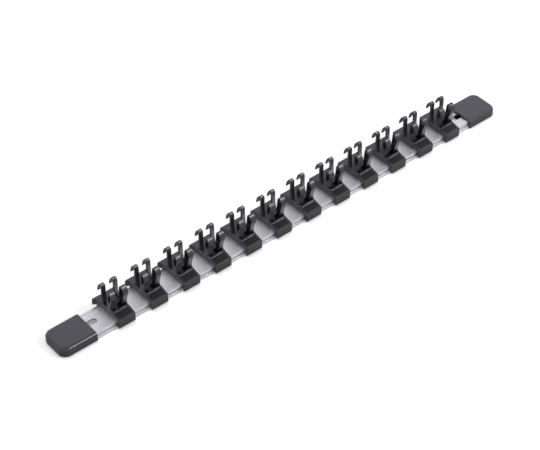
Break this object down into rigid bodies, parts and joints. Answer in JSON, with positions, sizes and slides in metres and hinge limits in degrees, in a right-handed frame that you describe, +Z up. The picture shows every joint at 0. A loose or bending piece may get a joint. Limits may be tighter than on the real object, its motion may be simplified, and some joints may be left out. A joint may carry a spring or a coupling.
{
  "type": "socket rail",
  "caption": "Extruded aluminium rail with moulded end caps and a row of sliding plastic clips whose sprung prongs hold wrench sockets by their square drive holes.",
  "frame": {"origin": "centre of the end caps' underside, on which the part rests", "axes": "+X along the rail to the right, +Y away from the clips' foot pads, +Z up"},
  "size_m": [0.4118, 0.0272, 0.0278],
  "materials": {
    "rail": "satin extruded",
    "end_cap": "semi-gloss black moulding",
    "clip": "matt charcoal moulding"
  },
  "bodies": {
    "rail_body": {"rail": "rail", "end_cap_left": "end_cap", "end_cap_right": "end_cap"},
    "socket_clip_01": {"socket_clip_01": "clip"},
    "socket_clip_02": {"socket_clip_02": "clip"},
    "socket_clip_03": {"socket_clip_03": "clip"},
    "socket_clip_04": {"socket_clip_04": "clip"},
    "socket_clip_05": {"socket_clip_05": "clip"},
    "socket_clip_06": {"socket_clip_06": "clip"},
    "socket_clip_07": {"socket_clip_07": "clip"},
    "socket_clip_08": {"socket_clip_08": "clip"},
    "socket_clip_09": {"socket_clip_09": "clip"},
    "socket_clip_10": {"socket_clip_10": "clip"},
    "socket_clip_11": {"socket_clip_11": "clip"},
    "socket_clip_12": {"socket_clip_12": "clip"}
  },
  "joints": [
    {"name": "clip_slide_01", "type": "slide", "parent": "rail_body", "child": "socket_clip_01", "axis": [1, 0, 0], "range_m": [-0.0132, 0.0063]},
    {"name": "clip_slide_02", "type": "slide", "parent": "rail_body", "child": "socket_clip_02", "axis": [1, 0, 0], "range_m": [-0.0063, 0.0063]},
    {"name": "clip_slide_03", "type": "slide", "parent": "rail_body", "child": "socket_clip_03", "axis": [1, 0, 0], "range_m": [-0.0063, 0.0063]},
    {"name": "clip_slide_04", "type": "slide", "parent": "rail_body", "child": "socket_clip_04", "axis": [1, 0, 0], "range_m": [-0.0063, 0.0063]},
    {"name": "clip_slide_05", "type": "slide", "parent": "rail_body", "child": "socket_clip_05", "axis": [1, 0, 0], "range_m": [-0.0063, 0.0063]},
    {"name": "clip_slide_06", "type": "slide", "parent": "rail_body", "child": "socket_clip_06", "axis": [1, 0, 0], "range_m": [-0.0063, 0.0063]},
    {"name": "clip_slide_07", "type": "slide", "parent": "rail_body", "child": "socket_clip_07", "axis": [1, 0, 0], "range_m": [-0.0063, 0.0063]},
    {"name": "clip_slide_08", "type": "slide", "parent": "rail_body", "child": "socket_clip_08", "axis": [1, 0, 0], "range_m": [-0.0063, 0.0063]},
    {"name": "clip_slide_09", "type": "slide", "parent": "rail_body", "child": "socket_clip_09", "axis": [1, 0, 0], "range_m": [-0.0063, 0.0063]},
    {"name": "clip_slide_10", "type": "slide", "parent": "rail_body", "child": "socket_clip_10", "axis": [1, 0, 0], "range_m": [-0.0063, 0.0063]},
    {"name": "clip_slide_11", "type": "slide", "parent": "rail_body", "child": "socket_clip_11", "axis": [1, 0, 0], "range_m": [-0.0063, 0.0063]},
    {"name": "clip_slide_12", "type": "slide", "parent": "rail_body", "child": "socket_clip_12", "axis": [1, 0, 0], "range_m": [-0.0063, 0.0088]}
  ]
}
